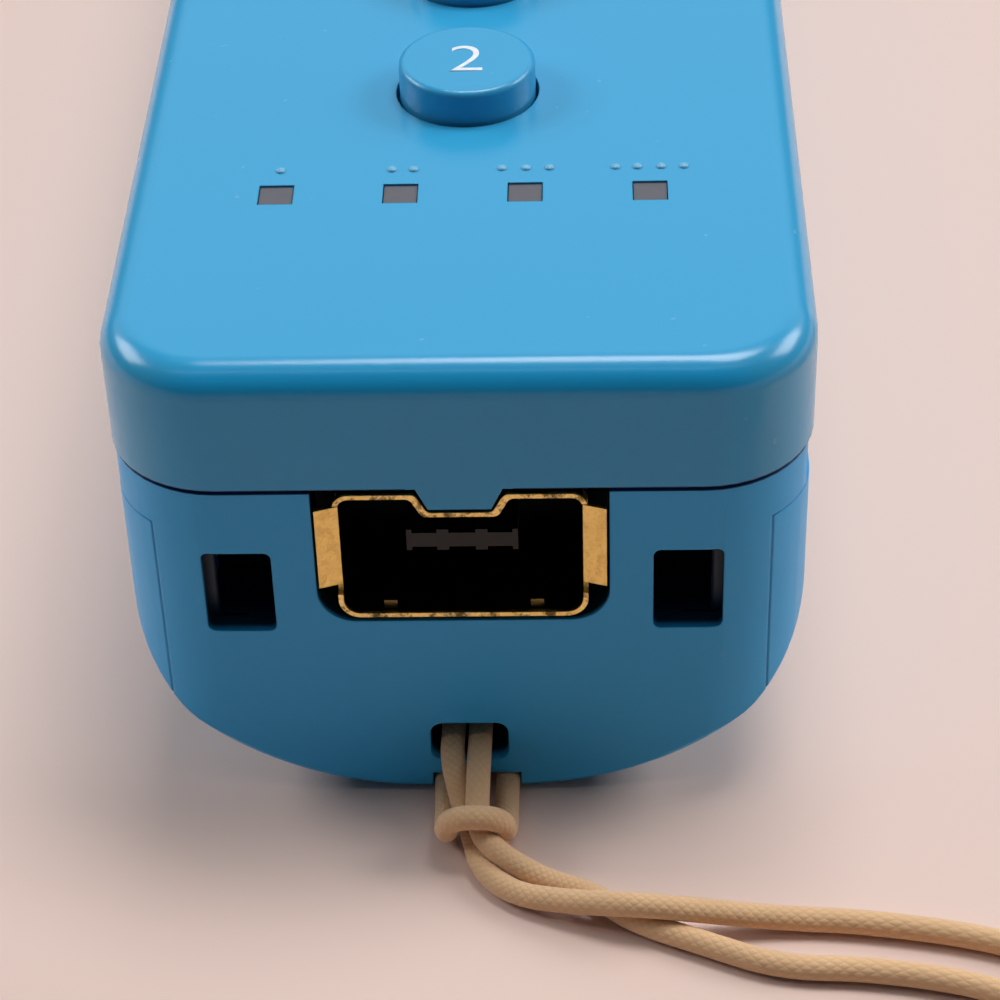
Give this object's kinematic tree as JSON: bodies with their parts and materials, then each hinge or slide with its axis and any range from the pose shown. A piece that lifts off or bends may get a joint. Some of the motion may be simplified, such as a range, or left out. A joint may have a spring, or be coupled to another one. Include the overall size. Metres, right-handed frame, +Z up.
{
  "type": "motion controller wand",
  "caption": "Slim hand-held motion controller with face buttons, a direction pad, a trigger beneath, a battery cover, an end socket and a wrist strap hitched to its end.",
  "frame": {"origin": "under the middle of the wand, on the surface that it lies on", "axes": "+X across the wand to the right, +Y along it from the strap end to the nose, +Z up, with the buttons on top"},
  "size_m": [0.1038, 0.1712, 0.0308],
  "materials": {
    "shell": "glossy clear-coated light blue",
    "shell_lower": "fine satin light blue",
    "button": "glossy light blue",
    "clear_button": "glossy light blue",
    "rubber": "matte grey silicone",
    "gold": "thin gold plating",
    "black_plastic": "matte black",
    "board": "green solder mask",
    "steel": "satin",
    "light_window": "smoky translucent",
    "light_chip": "pale",
    "dark_window": "polished dark violet",
    "cell": "printed sleeve",
    "red_plastic": "satin red",
    "speaker_cone": "matte black",
    "cord": "tightly woven tan cord",
    "webbing": "flat woven tan webbing",
    "strap_plastic": "satin tan"
  },
  "bodies": {
    "case": {"front_case": "shell", "rear_case": "shell_lower", "number_pad": "rubber", "centre_pad": "rubber", "a_button_pad": "rubber", "power_pad": "rubber", "dpad_pad": "rubber", "speaker": "speaker_cone", "player_lights": "light_chip", "player_light_windows": "light_window", "main_board": "board", "gyro_board": "board", "case_screws": "steel", "battery_left": "cell", "battery_right": "cell", "battery_springs": "steel", "battery_plates": "steel", "connector_shell": "gold", "connector_housing": "black_plastic", "connector_contacts": "gold", "trigger_pin": "steel", "trigger_switch": "black_plastic", "trigger_spring": "steel", "rumble_motor": "steel", "ir_window": "dark_window", "camera_module": "black_plastic", "strap_cord": "cord", "cord_joiner": "strap_plastic", "wristband": "webbing"},
    "a_button": {"a_button": "clear_button"},
    "battery_cover": {"battery_cover": "shell_lower"},
    "button_1": {"button_1": "button"},
    "button_2": {"button_2": "button"},
    "dpad": {"dpad": "button"},
    "dpad_pivot": {"dpad_pivot": "black_plastic"},
    "home_button": {"home_button": "clear_button"},
    "minus_button": {"minus_button": "button"},
    "plus_button": {"plus_button": "button"},
    "power_button": {"power_button": "button"},
    "rumble_weight": {"rumble_weight": "steel"},
    "strap_slider": {"strap_slider": "strap_plastic"},
    "sync_button": {"sync_button": "red_plastic"},
    "trigger": {"trigger": "shell_lower"}
  },
  "joints": [
    {"name": "button_1_press", "type": "slide", "parent": "case", "child": "button_1", "axis": [0, 0, -1], "range_m": [0, 0.0008], "stiffness_N_per_m": 400, "springref_m": -0.0005},
    {"name": "button_2_press", "type": "slide", "parent": "case", "child": "button_2", "axis": [0, 0, -1], "range_m": [0, 0.0008], "stiffness_N_per_m": 400, "springref_m": -0.0005},
    {"name": "minus_button_press", "type": "slide", "parent": "case", "child": "minus_button", "axis": [0, 0, -1], "range_m": [0, 0.0008], "stiffness_N_per_m": 400, "springref_m": -0.0005},
    {"name": "home_button_press", "type": "slide", "parent": "case", "child": "home_button", "axis": [0, 0, -1], "range_m": [0, 0.0008], "stiffness_N_per_m": 400, "springref_m": -0.0005},
    {"name": "plus_button_press", "type": "slide", "parent": "case", "child": "plus_button", "axis": [0, 0, -1], "range_m": [0, 0.0008], "stiffness_N_per_m": 400, "springref_m": -0.0005},
    {"name": "a_button_press", "type": "slide", "parent": "case", "child": "a_button", "axis": [0, 0, -1], "range_m": [0, 0.0008], "stiffness_N_per_m": 400, "springref_m": -0.0005},
    {"name": "power_button_press", "type": "slide", "parent": "case", "child": "power_button", "axis": [0, 0, -1], "range_m": [0, 0.0008], "stiffness_N_per_m": 400, "springref_m": -0.0005},
    {"name": "dpad_tilt_up_down", "type": "hinge", "parent": "case", "child": "dpad_pivot", "pos_m": [0, 0.0455, 0.0252], "axis": [1, 0, 0], "range_deg": [-3.3, 3.3], "stiffness_Nm_per_rad": 0.05},
    {"name": "dpad_tilt_left_right", "type": "hinge", "parent": "dpad_pivot", "child": "dpad", "pos_m": [0, 0.0455, 0.0252], "axis": [0, 1, 0], "range_deg": [-3.3, 3.3], "stiffness_Nm_per_rad": 0.05},
    {"name": "trigger_pull", "type": "hinge", "parent": "case", "child": "trigger", "pos_m": [0, 0.048, 0.0152], "axis": [-1, 0, 0], "range_deg": [0, 7], "stiffness_Nm_per_rad": 0.05, "springref_deg": -6.88, "deforming": ["trigger_spring"]},
    {"name": "sync_press", "type": "slide", "parent": "case", "child": "sync_button", "axis": [0, 0, 1], "range_m": [0, 0.0005], "stiffness_N_per_m": 400, "springref_m": -0.0003},
    {"name": "battery_cover_off", "type": "slide", "parent": "case", "child": "battery_cover", "axis": [0, 0, -1], "range_m": [0, 0.035]},
    {"name": "rumble_spin", "type": "hinge", "parent": "case", "child": "rumble_weight", "pos_m": [0.004, 0.0572, 0.0145], "axis": [1, 0, 0], "continuous": true},
    {"name": "slider_along_band", "type": "slide", "parent": "case", "child": "strap_slider", "axis": [1, 0, 0], "range_m": [0, 0.0022]}
  ]
}
